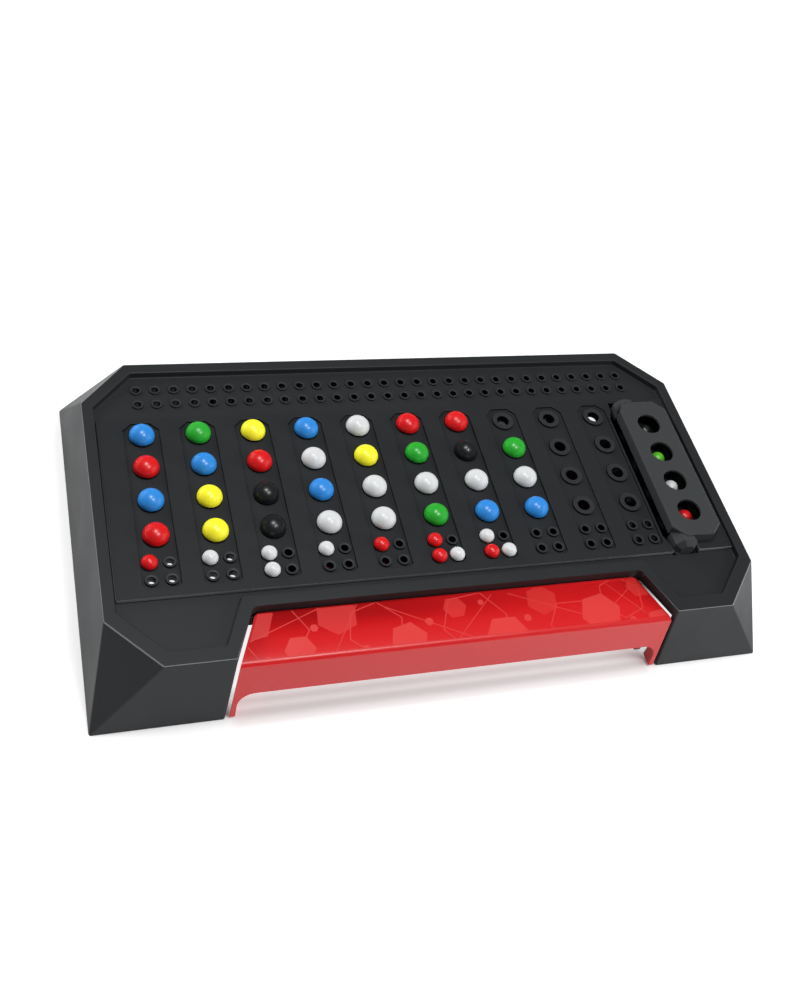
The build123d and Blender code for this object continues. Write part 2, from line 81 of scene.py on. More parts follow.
# The posts of the hidden pegs, in the same way: narrow rings that stand 2.7 mm high
HIDDEN_POST = [
    (1.35, -2.28), (1.6, -2.28), (1.6, -0.1), (2.24, -0.1), (2.22, 0.05), (2.2, 2.64), (2.13, 2.72),
    (1.56, 2.72), (1.39, 2.66), (1.35, 2.5),
]

# How many points make a dome's quarter and a ball's section
DOME_POINTS = 13
BALL_POINTS = 22
# The rounded lower corner of a head: how far each point is inside the head's radius, and how high it is
HEAD_CORNER = [(0.12, 0.0), (0.02, 0.1)]
# Radius of a spare peg's stem and how far its tip is from the ball's middle, in millimetres
SPARE_STEM = 1.95
SPARE_REACH = 12.0

# Width in millimetres of the rounded edges of each moulding
ROUNDINGS = {
    "top_housing": 0.45,
    "play_panel": 0.2,
    "code_shield": 0.2,
    "drawer_front": 0.35,
    "drawer_tray": 0.3,
    "drawer_runner_left": 0.25,
    "drawer_runner_right": 0.25,
}
# The panel's corners within this many millimetres of its front take the painted edge highlight
PAINTED_HIGHLIGHT_DEPTH = 0.1
# Corners closer than this, in metres, are one: in the frame's nodes, and in the turned shapes
CAD_GAP = 2e-6
SEAM_GAP = 1e-7
# Angles between faces in degrees: up to the first they are one flat face, up to the second they are shaded
# as one, over the third a moulded edge is rounded, and over the last a turned shape's edge looks sharp
FLAT_ANGLE = 1.0
SMOOTH_ANGLE = 15
ROUNDED_ANGLE = 25
SHARP_ANGLE = 35
# An edge is rounded only where it is longer than this many times the rounding
SHORTEST_ROUNDED = 3

# Tilts of a face are its normal's Z: 1 for a level face and 0 for an upright one
LEVEL_TILT = 0.99
LEANING_TILTS = (0.1, 0.9)
# Edges tilted less than this take the painted edge highlight, and walls tilted less than the next take the
# painted wall shade
PAINTED_HIGHLIGHT_BELOW = 0.96
UPRIGHT_BELOW = 0.45

# The melt's drift in colour and gloss: its width in millimetres, and the share by which roughness varies
DRIFT_WIDTH = 24
GLOSS_DRIFT = 0.08
# Between these a noise runs over most of a surface
NOISE_RANGE = (0.3, 0.7)

# Steel: how far apart its scratches are drawn in millimetres, how much they are drawn out, and its roughness
SCRATCH_WIDTH = 0.25
SCRATCH_STRETCH = 0.08
STEEL_ROUGHNESS = (0.22, 0.42)

# The drawer's printed field in millimetres: how far it stays from the top's back edge, how deep it is, half
# its width at the back, and how far its sides lean outwards to the front, in degrees
PRINT_MARGIN = 0.5
PRINT_DEPTH = 17.0
PRINT_HALF_BACK = 70.2
PRINT_LEAN = 22.8
# Width of the printed rims, how deep the ink is keyed into the top, how high each tint stands over it, and
# how much higher each shape is than the one before it
RIM_WIDTH = 0.45
INK_ROOT = 0.05
INK_HEIGHTS = {"middle": 0.015, "pale": 0.03}
INK_STEP = 0.0005
# Hexagons, hexagonal rims and dots: x, y, radius and turn in degrees
PRINT_HEXAGONS = [
    (-74.0, -47.5, 9.0, 10), (-58.5, -60.5, 5.4, 0), (-44.0, -49.0, 7.6, 24), (-21.0, -61.0, 6.8, 15),
    (-2.0, -50.5, 4.4, 5), (14.5, -64.0, 8.6, 0), (31.0, -51.0, 6.2, 20), (52.0, -58.5, 8.2, 12),
    (70.5, -49.0, 5.0, 0), (75.0, -66.0, 7.0, 8),
]
PRINT_RIMS = [
    (-66.0, -53.5, 12.0, 0), (-31.5, -55.5, 10.5, 18), (4.0, -57.0, 12.5, 8), (41.0, -61.5, 10.0, 0),
    (62.0, -53.0, 9.0, 22),
]
PRINT_DOTS = [
    (-52.5, -53.0, 1.5, 0), (-36.5, -62.5, 1.3, 0), (-12.5, -55.0, 1.6, 0), (8.0, -49.5, 1.2, 0),
    (23.5, -57.5, 1.5, 0), (37.0, -64.5, 1.2, 0), (63.5, -62.5, 1.4, 0), (-69.5, -63.0, 1.3, 0),
]
# Thin lines: x, y, length, width and direction in degrees
PRINT_LINES = [
    (-80.0, -58.0, 34.0, 0.35, 22), (-49.0, -66.0, 30.0, 0.3, 58), (-27.0, -47.5, 36.0, 0.35, -28),
    (-6.0, -65.0, 26.0, 0.3, 44), (19.0, -47.0, 38.0, 0.35, -24), (44.0, -66.0, 30.0, 0.3, 36),
    (58.0, -47.0, 24.0, 0.3, -50),
]

# Zones of the floor: low, high and soft edge in millimetres along X, and the same along Y
ROUND_OBJECT = ((-190, 190, 40), (-130, 130, 40))
UNDER_BASE = ((-122, 122, 3), (-68, 66, 3))
# Under the arch, and in a thin strip in front of it, the floor gets no glow: the drawer's real shadow,
# deepened there as painted shade by the missing glow
UNDER_ARCH = ((-79, 79, 2), (-72.5, -60, 1))
# The next three zones are painted light: the floor glows white in them though it lies in the object's shadow
BEHIND_DRAWER_FRONT = ((-118, 118, 2), (-62, -38, 5))
BELOW_LEFT_LANES = ((-118, -60, 2), (-50, 40, 2))
BELOW_LAST_BACK_HOLE = ((96, 105, 1), (47, 58, 1))
# How strongly the floor glows white to the camera: far from the object, close round it where the shadow may
# show, under it, and as painted light in the zones under it where it glows again though it lies in shadow
FAR_WHITE = 1.0
NEAR_WHITE = 0.15
HIDDEN_WHITE = 0.0
PAINTED_GLOW_WHITE = 0.85
# Half the floor's side, in metres
FLOOR_HALF = 3.0

# Lamps: name, place and width in metres, power in watts, and whether it shows in reflections. The two small
# ones above leave the sharp glints on the pegs, and the wide ones light the walls. All face one point.
LAMPS = [
    ("lamp_above_back", (-0.10, 0.11, 0.80), 0.15, 2.7, True),
    ("lamp_above_front", (0.12, -0.22, 0.77), 0.15, 2.3, True),
    ("lamp_right", (0.95, -0.40, 0.26), 0.9, 13.0, False),
    ("lamp_left", (-0.75, 0.90, 0.30), 0.9, 17.0, False),
]
LAMP_AIM = (0, 0, 0.02)
# How bright the white room is as a lamp
ROOM_LIGHT = 0.14

# The camera, fitted to the grid of pegs and the corners of the base: its place in millimetres, its turn
# about X, Y and Z in degrees, and its focal length and the photograph's long side in pixels
CAMERA_PLACE = (-139.202, -228.968, 343.881)
CAMERA_TURN = (37.6152, -12.5673, -14.0061)
FOCAL_PIXELS = 1117.04
LONG_SIDE_PIXELS = 1000
SENSOR_WIDTH = 36.0


def linear(code):
    """Linear RGBA of an sRGB hex code: a channel c becomes c / 12.92 up to 0.04045, and
    ((c + 0.055) / 1.055) ** 2.4 above it."""
    channels = [int(code[i:i + 2], 16) / 255 for i in (1, 3, 5)]
    return tuple(c / 12.92 if c <= 0.04045 else ((c + 0.055) / 1.055) ** 2.4 for c in channels) + (1.0,)


def size(value, label, text):
    """A length in the sidebar, given in millimetres."""
    return bpy.props.FloatProperty(
        name=label, description=text, default=value * MM, min=0.0, subtype="DISTANCE", unit="LENGTH",
        precision=5,
    )


def place(value, label, text):
    """A coordinate in the sidebar, given in millimetres."""
    return bpy.props.FloatProperty(
        name=label, description=text, default=value * MM, subtype="DISTANCE", unit="LENGTH", precision=5,
    )


def colour(code, label, text):
    """A colour in the sidebar, given as an sRGB hex code."""
    return bpy.props.FloatVectorProperty(
        name=label, description=text, default=linear(code), size=4, min=0.0, max=1.0, subtype="COLOR",
    )


class PEGGAME_PG_sizes(bpy.types.PropertyGroup):
    """Sizes of the pegs, the rings and the posts, and where the holes are."""

    column_pitch: size(20.0, "Column pitch", "Distance between two lanes")
    first_column: place(-99.6, "First column", "X of the first lane")
    row_pitch: size(14.36, "Row pitch", "Distance between two code holes of a lane")
    first_row: place(29.62, "First row", "Y of the back row of code holes")
    key_pitch: size(6.7, "Key hole pitch", "Distance between the key holes of a lane")
    first_key_row: place(-24.26, "First key row", "Y of the back row of key holes")
    secret_column: place(100.39, "Hidden column", "X of the holes under the shield")
    first_secret: place(20.65, "First hidden hole", "Y of the back hole under the shield")
    storage_pitch: size(6.85, "Storage pitch", "Distance between the storage holes along a row")
    storage_row_pitch: size(6.8, "Storage row pitch", "Distance between the two storage rows")
    storage_middle: place(48.92, "Storage middle", "Y midway between the two storage rows")
    lane_floor: size(29.3, "Lane floor", "Height of the lanes' floor above the table")
    well_floor: size(27.3, "Well floor", "Height of the floor under the shield")
    deck_top: size(28.6, "Deck top", "Height of the recess in the housing")
    ring_height: size(0.8, "Ring height", "Height of the rings above the lanes")
    post_height: size(2.7, "Post height", "Height of the posts under the shield")
    head_radius: size(4.5, "Code head radius", "Radius of a code peg's head")
    head_height: size(4.3, "Code head height", "Height of a code peg's head")
    key_head_radius: size(2.75, "Key head radius", "Radius of a key peg's head")
    key_head_height: size(2.8, "Key head height", "Height of a key peg's head")
    ball_radius: size(4.75, "Ball radius", "Radius of a spare peg's ball")
    ball_height: size(19.3, "Ball height", "Height of the middle of a spare peg's ball above the table")


class PEGGAME_PG_colours(bpy.types.PropertyGroup):
    """Colours of the plastics, the ink and the steel."""

    housing: colour("#222426", "Housing", "Black of the housing")
    panel: colour("#232527", "Panel", "Black of the panel")
    # The rings' black is drawn a shade paler than the panel's
    rings: colour("#292b2d", "Rings", "Black of the rings, rubbed by the pegs")
    shield: colour("#363839", "Shield", "Black of the code shield")
    # A painted highlight: the paler grey put on the rounded edges where light would catch them
    rubbed: colour("#6c6f71", "Rubbed", "Grey of the black plastic's rubbed edges")
    # A painted shade: near black for the upright walls of the panel and the rings, which lie in shadow
    wall: colour("#08090a", "Walls", "Black of the smoother side walls of the panel and the rings")
    drawer: colour("#c4161a", "Drawer", "Red of the drawer")
    ink_pale: colour("#cc3634", "Pale ink", "Lightest tint printed on the drawer")
    ink_mid: colour("#c62624", "Middle ink", "Middle tint printed on the drawer")
    steel: colour("#b9bbbd", "Steel", "Pins and screws")
    blue: colour("#2a7fcc", "Blue", "Blue code pegs")
    red: colour("#ca1116", "Red", "Red pegs")
    green: colour("#249c2a", "Green", "Green code pegs")
    yellow: colour("#f0e82c", "Yellow", "Yellow code pegs")
    white: colour("#c8cacb", "White", "White pegs")
    black: colour("#141617", "Black", "Black code pegs")
    lime: colour("#58b51f", "Lime", "Lime pegs")
    orange: colour("#f7a513", "Orange", "Orange spare peg")
    sky_blue: colour("#0f8fdc", "Sky blue", "Sky-blue spare peg")


def sizes():
    """The sizes set in the sidebar, in metres."""
    return bpy.context.scene.peggame_sizes


def colours():
    """The colours set in the sidebar, linear."""
    return bpy.context.scene.peggame_colours


# Materials


def add_node(tree, kind, settings, inputs):
    """Adds one node, sets its fields, and gives each input a value or a link from another node's output."""
    node = tree.nodes.new(kind)
    for key, value in settings.items():
        setattr(node, key, value)
    for key, value in inputs.items():
        if isinstance(value, bpy.types.NodeSocket):
            tree.links.new(value, node.inputs[key])
        else:
            node.inputs[key].default_value = value
    return node


def new_tree(name):
    """A new material, its empty node tree and its output node."""
    material = bpy.data.materials.new(name)
    material.use_nodes = True
    tree = material.node_tree
    tree.nodes.clear()
    return material, tree, tree.nodes.new("ShaderNodeOutputMaterial")


def tint(base, factor):
    """A colour made darker or lighter."""
    return tuple(min(1.0, c * factor) for c in base[:3]) + (1.0,)


def any_of(tree, values):
    """The largest of several outputs that run from 0 to 1: it is 1 where any of them is."""
    largest = values[0]
    for value in values[1:]:
        larger = add_node(tree, "ShaderNodeMath", {"operation": "MAXIMUM"}, {0: largest, 1: value})
        largest = larger.outputs[0]
    return largest


def paint_edge_highlight(tree, coordinates, shade, pale, least):
    """The colour with a painted highlight on the rounded edges: paler where the mesh marks the corners for
    it, on faces whose tilt is over least and under the flat top's."""
    lean = add_node(tree, "ShaderNodeSeparateXYZ", {}, {0: coordinates.outputs["Normal"]})
    steep = add_node(tree, "ShaderNodeMath", {"operation": "LESS_THAN"}, {
        0: lean.outputs[2], 1: PAINTED_HIGHLIGHT_BELOW})
    level = add_node(tree, "ShaderNodeMath", {"operation": "GREATER_THAN"}, {0: lean.outputs[2], 1: least})
    band = add_node(tree, "ShaderNodeMath", {"operation": "MULTIPLY"}, {
        0: steep.outputs[0], 1: level.outputs[0]})
    rubbed = add_node(tree, "ShaderNodeAttribute", {"attribute_name": "rubbed"}, {})
    part = add_node(tree, "ShaderNodeMath", {"operation": "MULTIPLY"}, {
        0: band.outputs[0], 1: rubbed.outputs["Fac"]})
    return add_node(tree, "ShaderNodeMix", {"data_type": "RGBA"}, {
        0: part.outputs[0], 6: shade.outputs[2], 7: pale})


def paint_wall_shade(tree, coordinates, shade, wall):
    """The colour with a painted shade: the upright walls, which lie in shadow, in the dark colour wall."""
    lean = add_node(tree, "ShaderNodeSeparateXYZ", {}, {0: coordinates.outputs["Normal"]})
    upright = add_node(tree, "ShaderNodeMath", {"operation": "LESS_THAN"}, {
        0: lean.outputs[2], 1: UPRIGHT_BELOW})
    return add_node(tree, "ShaderNodeMix", {"data_type": "RGBA"}, {
        0: upright.outputs[0], 6: shade.outputs[2], 7: wall})


def moulded_plastic(
    name, base, roughness, grain, relief, drift=0.05, shine=0.5, pale=None, least=-1.0, wall=None
):
    """Injection-moulded plastic. grain is the width in millimetres of the texture on the mould's steel,
    relief its depth. The colour drifts by the share drift over a few centimetres, and the gloss with it, as
    the melt cooled. The marked rounded edges get the colour pale, a painted highlight where light would catch
    them. The upright walls get the colour wall, a painted shade for the shadow that they lie in."""
    material, tree, output = new_tree(name)
    coordinates = tree.nodes.new("ShaderNodeTexCoord")
    place_on_piece = coordinates.outputs["Object"]
    fine = add_node(tree, "ShaderNodeTexNoise", {}, {
        "Vector": place_on_piece, "Scale": 1 / (grain * MM), "Detail": 2.0, "Roughness": 0.55})
    broad = add_node(tree, "ShaderNodeTexNoise", {}, {
        "Vector": place_on_piece, "Scale": 1 / (DRIFT_WIDTH * MM), "Detail": 2.0, "Roughness": 0.5})
    shade = add_node(tree, "ShaderNodeMix", {"data_type": "RGBA"}, {
        0: broad.outputs[0], 6: tint(base, 1 - drift), 7: tint(base, 1 + drift)})
    # Painted shade on the upright walls
    if wall:
        shade = paint_wall_shade(tree, coordinates, shade, wall)
    # Painted highlight on the marked rounded edges
    if pale:
        shade = paint_edge_highlight(tree, coordinates, shade, pale, least)
    least_noise, most_noise = NOISE_RANGE
    gloss = add_node(tree, "ShaderNodeMapRange", {}, {
        "Value": broad.outputs[0], "From Min": least_noise, "From Max": most_noise,
        "To Min": roughness * (1 - GLOSS_DRIFT), "To Max": roughness * (1 + GLOSS_DRIFT)})
    bump = add_node(tree, "ShaderNodeBump", {}, {
        "Height": fine.outputs[0], "Strength": 1.0, "Distance": relief * MM})
    shader = add_node(tree, "ShaderNodeBsdfPrincipled", {}, {
        "Base Color": shade.outputs[2], "Roughness": gloss.outputs[0], "Normal": bump.outputs[0],
        "IOR": 1.5, "Specular IOR Level": shine})
    tree.links.new(shader.outputs[0], output.inputs[0])
    return material


def housing_plastic():
    """ABS moulded against spark-eroded steel: matt black with a broad grey sheen and a fine grain. The real
    grain is about 0.1 mm wide and is drawn three times as coarse to show. The outer edge is painted paler, a
    painted highlight where light would catch its rounding."""
    return moulded_plastic(
        "abs_matt_housing", colours().housing, roughness=0.50, grain=0.32, relief=0.012, shine=0.22,
        pale=colours().rubbed, least=0.62,
    )


def panel_plastic():
    """ABS from a finer mould: the same black, a little smoother. The front edge is painted paler, a painted
    highlight. The lanes' walls are painted darker, a painted shade for the shadow that they lie in."""
    return moulded_plastic(
        "abs_satin_panel", colours().panel, roughness=0.46, grain=0.28, relief=0.009, shine=0.16,
        pale=colours().rubbed, wall=colours().wall,
    )


def ring_plastic(name, roughness):
    """ABS moulded in one with the panel or the housing: a rim drawn a shade paler and glossier than the
    plastic round it, on a side wall painted dark, a painted shade."""
    return moulded_plastic(
        name, colours().rings, roughness=roughness, grain=0.28, relief=0.009, shine=0.22,
        wall=colours().wall,
    )


def shield_plastic():
    """ABS moulded against spark-eroded steel, as the housing, but a paler black with a dull sheen."""
    return moulded_plastic(
        "abs_matt_shield", colours().shield, roughness=0.48, grain=0.3, relief=0.010, shine=0.16
    )


def drawer_plastic():
    """ABS moulded against polished steel: bright red that mirrors a pale room softly, with the faint ripple
    that polishing leaves, about 1 mm wide."""
    return moulded_plastic(
        "abs_gloss_drawer", colours().drawer, roughness=0.34, grain=0.9, relief=0.004, drift=0.03
    )


def runner_plastic():
    """ABS moulded against milled steel: plain black with a soft shine, as it is out of sight."""
    return moulded_plastic("abs_runner", colours().housing, roughness=0.42, grain=0.3, relief=0.008)


def print_ink(name, base):
    """Pad-printed ink in a paler tint of the drawer's red: clean-edged, and as glossy as the plastic."""
    return moulded_plastic(name, base, roughness=0.3, grain=0.7, relief=0.004, drift=0.04)


def peg_plastic(name, kind):
    """Polystyrene moulded against polished steel: full colour under a clear, sharp shine, with hardly any
    ripple."""
    return moulded_plastic(
        f"polystyrene_{name}_{kind}", getattr(colours(), name), roughness=0.31, grain=1.2, relief=0.0006,
        drift=0.03,
    )


def drawn_steel(name):
    """Zinc-plated steel, drawn and headed cold: bright, with fine scratches along Y, which are drawn coarser
    than the real ones so that they show."""
    material, tree, output = new_tree(name)
    place_on_piece = tree.nodes.new("ShaderNodeTexCoord").outputs["Object"]
    stretched = add_node(tree, "ShaderNodeMapping", {}, {
        "Vector": place_on_piece, "Scale": (1.0, SCRATCH_STRETCH, 1.0)})
    scratches = add_node(tree, "ShaderNodeTexNoise", {}, {
        "Vector": stretched.outputs[0], "Scale": 1 / (SCRATCH_WIDTH * MM), "Detail": 3.0})
    smooth, rough = STEEL_ROUGHNESS
    gloss = add_node(tree, "ShaderNodeMapRange", {}, {
        "Value": scratches.outputs[0], "To Min": smooth, "To Max": rough})
    shader = add_node(tree, "ShaderNodeBsdfPrincipled", {}, {
        "Base Color": colours().steel, "Metallic": 1.0, "Roughness": gloss.outputs[0]})
    tree.links.new(shader.outputs[0], output.inputs[0])
    return material


def inside(tree, along, low, high, soft):
    """1 where a coordinate lies between low and high, in millimetres, and 0 outside. Each end is a ramp
    that reaches soft millimetres to both sides."""
    rise = add_node(tree, "ShaderNodeMapRange", {}, {
        "Value": along, "From Min": (low - soft) * MM, "From Max": (low + soft) * MM})
    fall = add_node(tree, "ShaderNodeMapRange", {}, {
        "Value": along, "From Min": (high - soft) * MM, "From Max": (high + soft) * MM,
        "To Min": 1.0, "To Max": 0.0})
    return add_node(tree, "ShaderNodeMath", {"operation": "MULTIPLY"}, {
        0: rise.outputs[0], 1: fall.outputs[0]})


def in_zone(tree, axes, zone):
    """1 inside a zone of the floor: the product of inside along X and along Y."""
    across = inside(tree, axes.outputs[0], *zone[0])
    along = inside(tree, axes.outputs[1], *zone[1])
    product = add_node(tree, "ShaderNodeMath", {"operation": "MULTIPLY"}, {
        0: across.outputs[0], 1: along.outputs[0]})
    return product.outputs[0]


def floor_paper(name):
    """Matt white paper that shows white to the camera and in reflections, and keeps the object's shadow. The
    glow is weaker close round the object, so that its shadow shows there. Under the object it is painted
    light: the floor glows white behind the drawer's front, below the left-hand lanes and below the last
    lane's back hole, though it lies in shadow there. The other holes stay dark, and so does the line under
    the arch, where the shadow is deepest and no glow lightens it."""
    material, tree, output = new_tree(name)
    spot = tree.nodes.new("ShaderNodeTexCoord").outputs["Object"]
    axes = add_node(tree, "ShaderNodeSeparateXYZ", {}, {0: spot})
    around = add_node(tree, "ShaderNodeMapRange", {}, {
        "Value": in_zone(tree, axes, ROUND_OBJECT), "To Min": FAR_WHITE, "To Max": NEAR_WHITE})
    shaded = any_of(tree, [in_zone(tree, axes, zone) for zone in (UNDER_BASE, UNDER_ARCH)])
    dark = add_node(tree, "ShaderNodeMapRange", {}, {
        "Value": shaded, "To Min": around.outputs[0], "To Max": HIDDEN_WHITE})
    # Painted light: the floor glows white in these zones under the object, where it lies in shadow
    painted_glow_zones = (BEHIND_DRAWER_FRONT, BELOW_LEFT_LANES, BELOW_LAST_BACK_HOLE)
    clear = any_of(tree, [in_zone(tree, axes, zone) for zone in painted_glow_zones])
    strength = add_node(tree, "ShaderNodeMapRange", {}, {
        "Value": clear, "To Min": dark.outputs[0], "To Max": PAINTED_GLOW_WHITE})
    path = tree.nodes.new("ShaderNodeLightPath")
    rays = ("Is Camera Ray", "Is Glossy Ray", "Is Transmission Ray")
    seen = any_of(tree, [path.outputs[ray] for ray in rays])
    glow = add_node(tree, "ShaderNodeMath", {"operation": "MULTIPLY"}, {0: strength.outputs[0], 1: seen})
    paper = add_node(tree, "ShaderNodeBsdfDiffuse", {}, {"Color": linear("#f0f0f0")})
    white = add_node(tree, "ShaderNodeEmission", {}, {
        "Color": linear("#ffffff"), "Strength": glow.outputs[0]})
    both = add_node(tree, "ShaderNodeAddShader", {}, {0: paper.outputs[0], 1: white.outputs[0]})
    tree.links.new(both.outputs[0], output.inputs[0])
    return material


# Where the holes are


def grid_of(columns, rows):
    """Every pair of a column's X and a row's Y."""
    x, y = np.meshgrid(columns, rows)
    return np.column_stack([x.ravel(), y.ravel()])


def code_columns():
    """X of each lane."""
    s = sizes()
    return s.first_column + s.column_pitch * np.arange(LANES)


def code_holes():
    """Places of the code holes, from the back row to the front."""
    s = sizes()
    return grid_of(code_columns(), s.first_row - s.row_pitch * np.arange(CODE_ROWS))


def key_holes():
    """Places of the key holes: two across each lane, half a pitch to either side of its middle."""
    s = sizes()
    sides = np.array([-0.5, 0.5]) * s.key_pitch
    columns = (code_columns()[:, None] + sides[None]).ravel()
    return grid_of(columns, s.first_key_row - s.key_pitch * np.arange(KEY_ROWS))


def hidden_holes():
    """Places of the holes under the shield."""
    s = sizes()
    return grid_of([s.secret_column], s.first_secret - s.row_pitch * np.arange(CODE_ROWS))


def storage_holes():
    """Places of the storage holes, in two rows centred on the housing's middle."""
    s = sizes()
    along = (np.arange(STORAGE_COLUMNS) - (STORAGE_COLUMNS - 1) / 2) * s.storage_pitch
    return grid_of(along, s.storage_middle + np.array([0.5, -0.5]) * s.storage_row_pitch)


def seats_of(node, places, reach):
    """The places, as rows of X and Y in metres, at which a CAD node has a corner within reach."""
    count = len(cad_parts[node].data.vertices)
    corners = np.empty(count * 3)
    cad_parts[node].data.vertices.foreach_get("co", corners)
    corners = corners.reshape(-1, 3)
    apart = np.hypot(
        places[:, None, 0] - corners[None, :, 0],
        places[:, None, 1] - corners[None, :, 1],
    )
    return places[(apart < reach).any(axis=1)]


def with_height(places, height):
    """Places in plan raised to one height."""
    return np.column_stack([places, np.full(len(places), height)])


# Shapes


def settle(piece, material, body, replaces=(), sharp=SHARP_ANGLE):
    """Links a piece, gives it its material, parents it to the empty of the body that it rides on, and hides
    the CAD nodes that it stands for. With sharp, it is shaded smooth apart from edges that turn by more than
    sharp degrees."""
    bpy.context.scene.collection.objects.link(piece)
    piece.data.materials.clear()
    piece.data.materials.append(material)
    if sharp:
        piece.data.shade_smooth()
        piece.data.set_sharp_from_angle(angle=math.radians(sharp))
    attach(piece, body)
    for node in replaces:
        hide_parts(node)
    return piece


def finish_piece(name, corners, faces, material, body, replaces=()):
    """Makes a mesh that has its place in its corners, merges those that meet at its poles, and settles it."""
    mesh = bpy.data.meshes.new(name)
    mesh.from_pydata(corners.reshape(-1, 3).tolist(), [], faces.reshape(-1, 4).tolist())
    work = bmesh.new()
    work.from_mesh(mesh)
    bmesh.ops.remove_doubles(work, verts=work.verts, dist=SEAM_GAP)
    bmesh.ops.dissolve_degenerate(work, edges=work.edges, dist=SEAM_GAP)
    work.to_mesh(mesh)
    work.free()
    return settle(bpy.data.objects.new(name, mesh), material, body, replaces)


def turned_faces(count, stations, segments, closed):
    """Corner numbers of the quads between the stations of count turned shapes: station i and the next one,
    side j and the next one. The last side meets the first, and with closed the last station does too."""
    last = stations if closed else stations - 1
    i, j = np.meshgrid(np.arange(last), np.arange(segments), indexing="ij")
    near = i * segments
    far = (i + 1) % stations * segments
    onward = (j + 1) % segments
    quads = np.stack([near + j, near + onward, far + onward, far + j], axis=-1).reshape(-1, 4)
    return quads[None] + (np.arange(count) * stations * segments)[:, None, None]


def turned_corners(profile, seats, segments, axes=None):
    """Each profile point (r, h) goes round the axis of each seat: seat + r cos(a) U + r sin(a) V + h W,
    with U, V and W the rows of axes, or X, Y and Z."""
    angle = np.arange(segments) * 2 * np.pi / segments
    u, v, w = np.eye(3) if axes is None else axes
    r = profile[:, 0, None, None]
    h = profile[:, 1, None, None]
    ring = r * (np.cos(angle)[None, :, None] * u + np.sin(angle)[None, :, None] * v) + h * w
    return np.asarray(seats)[:, None, None, :] + ring[None]


def turned(name, profile, seats, segments, material, body, replaces=(), closed=False, axes=None):
    """Copies of one turned shape, in one mesh. A closed profile is a ring's section, run so that it is
    outside on its right; an open one starts and ends on the axis."""
    profile = np.asarray(profile) * MM
    corners = turned_corners(profile, seats, segments, axes)
    faces = turned_faces(len(corners), len(profile), segments, closed)
    return finish_piece(name, corners, faces, material, body, replaces)


def outer_edge(corner):
    """Where the housing's top meets its leaning outside faces."""
    tilts = [face.normal.z for face in corner.link_faces]
    least, most = LEANING_TILTS
    return max(tilts) > LEVEL_TILT and any(least < tilt < most for tilt in tilts)


def moulded_copy(name, node, material, body, takes_painted_highlight=None):
    """The CAD node's own shape with the small rounded edges of a moulding. Its flat faces are joined again
    from their triangles, and each edge that is sharp and long enough is rounded. The corners for which
    takes_painted_highlight holds are marked to take the painted edge highlight."""
    edge = ROUNDINGS[node] * MM
    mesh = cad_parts[node].data.copy()
    mesh.name = name
    work = bmesh.new()
    work.from_mesh(mesh)
    bmesh.ops.remove_doubles(work, verts=work.verts, dist=CAD_GAP)
    bmesh.ops.dissolve_limit(work, angle_limit=math.radians(FLAT_ANGLE), verts=work.verts, edges=work.edges)
    weight = work.edges.layers.float.new("bevel_weight_edge")
    for face in work.faces:
        face.smooth = True
    for line in work.edges:
        turn = line.calc_face_angle(0.0) if len(line.link_faces) == 2 else 0.0
        rounded = turn > math.radians(ROUNDED_ANGLE) and line.calc_length() > SHORTEST_ROUNDED * edge
        line[weight] = 1.0 if rounded else 0.0
        line.smooth = rounded or turn < math.radians(SMOOTH_ANGLE)
    # Marks the corners that take the painted edge highlight
    if takes_painted_highlight:
        rubbed = work.verts.layers.float.new("rubbed")
        for corner in work.verts:
            corner[rubbed] = float(takes_painted_highlight(corner))
    work.to_mesh(mesh)
    work.free()
    piece = bpy.data.objects.new(name, mesh)
    rounding = piece.modifiers.new("rounded_edges", "BEVEL")
    rounding.width = edge
    rounding.segments = 2
    rounding.limit_method = "WEIGHT"
    rounding.use_clamp_overlap = False
    flats = piece.modifiers.new("flat_faces", "WEIGHTED_NORMAL")
    flats.keep_sharp = True
    flats.weight = 100
    return settle(piece, material, body, [node], sharp=None)


def paint_node(node, material):
    """Gives a CAD node that is shown as it is its material."""
    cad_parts[node].data.materials.clear()
    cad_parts[node].data.materials.append(material)


def dome_peg_profile(radius, height, skirt, stem, length):
    """Section of a peg from the stem's tip to the crown, in millimetres. Above the skirt the head is an
    ellipse: r = radius cos(t), h = skirt + (height - skirt) sin(t). The skirt's lower edge is rounded by
    about 0.1 mm, and the stem's tip is bevelled by a fifth of its radius."""
    t = np.linspace(0, np.pi / 2, DOME_POINTS)
    head = np.column_stack([radius * np.cos(t), skirt + (height - skirt) * np.sin(t)])
    head[-1, 0] = 0.0
    tip = 0.2 * stem
    foot = [(0.0, -length), (stem - tip, -length), (stem, tip - length), (stem, 0.0)]
    corner = [(radius - inward, up) for inward, up in HEAD_CORNER]
    return np.vstack([foot, corner, head])


def code_peg_profile():
    """Section of a code peg."""
    s = sizes()
    return dome_peg_profile(s.head_radius / MM, s.head_height / MM, skirt=0.4, stem=2.15, length=7.2)


def key_peg_profile():
    """Section of a key peg, which the hidden code pegs share."""
    s = sizes()
    return dome_peg_profile(s.key_head_radius / MM, s.key_head_height / MM, skirt=0.3, stem=1.2, length=5.0)


def ball_peg_profile(ball, stem, reach):
    """Section of a ball-headed peg from the ball's far side to the stem's tip, in millimetres: h = -ball
    cos(t), r = ball sin(t), then a short cone down to the stem, which is bevelled at its tip."""
    flare = 0.9
    cone = 1.1
    tip = 0.3
    t = np.linspace(0, math.pi - math.asin((stem + flare) / ball), BALL_POINTS)
    round_part = np.column_stack([ball * np.sin(t), -ball * np.cos(t)])
    round_part[0, 0] = 0.0
    neck = round_part[-1, 1]
    rest = [(stem, neck + cone), (stem, reach - tip), (stem - tip, reach), (0.0, reach)]
    return np.vstack([round_part, rest])


